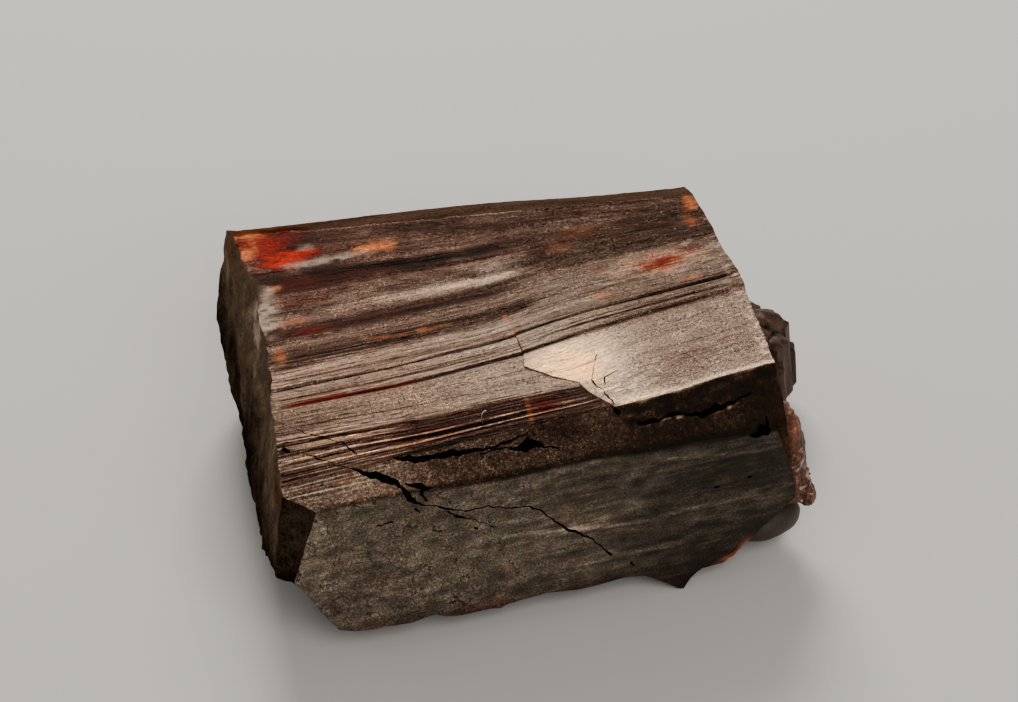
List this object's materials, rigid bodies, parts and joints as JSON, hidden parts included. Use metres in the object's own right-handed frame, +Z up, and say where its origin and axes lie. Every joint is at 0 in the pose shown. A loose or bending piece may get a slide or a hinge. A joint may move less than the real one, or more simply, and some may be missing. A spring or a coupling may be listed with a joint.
{
  "type": "tantalite mineral specimen",
  "caption": "Stout striated tantalite crystal fragment with broken ends, pits and cracks, a ribbed shoulder, small intergrown crystals and a remnant of iron-stained matrix.",
  "frame": {"origin": "middle of the overall outline seen from above, at the level of the flat base", "axes": "+X along the striations towards the end that keeps the matrix, +Y from the grey-green front face to the back, +Z up to the striated face"},
  "size_m": [0.0218, 0.0168, 0.0086],
  "materials": {
    "striated_tantalite": "submetallic, striated",
    "iron_stained_matrix": "rough, earthy"
  },
  "bodies": {
    "root": {"tantalite_crystal": "striated_tantalite", "matrix_crust": "iron_stained_matrix"}
  },
  "joints": []
}
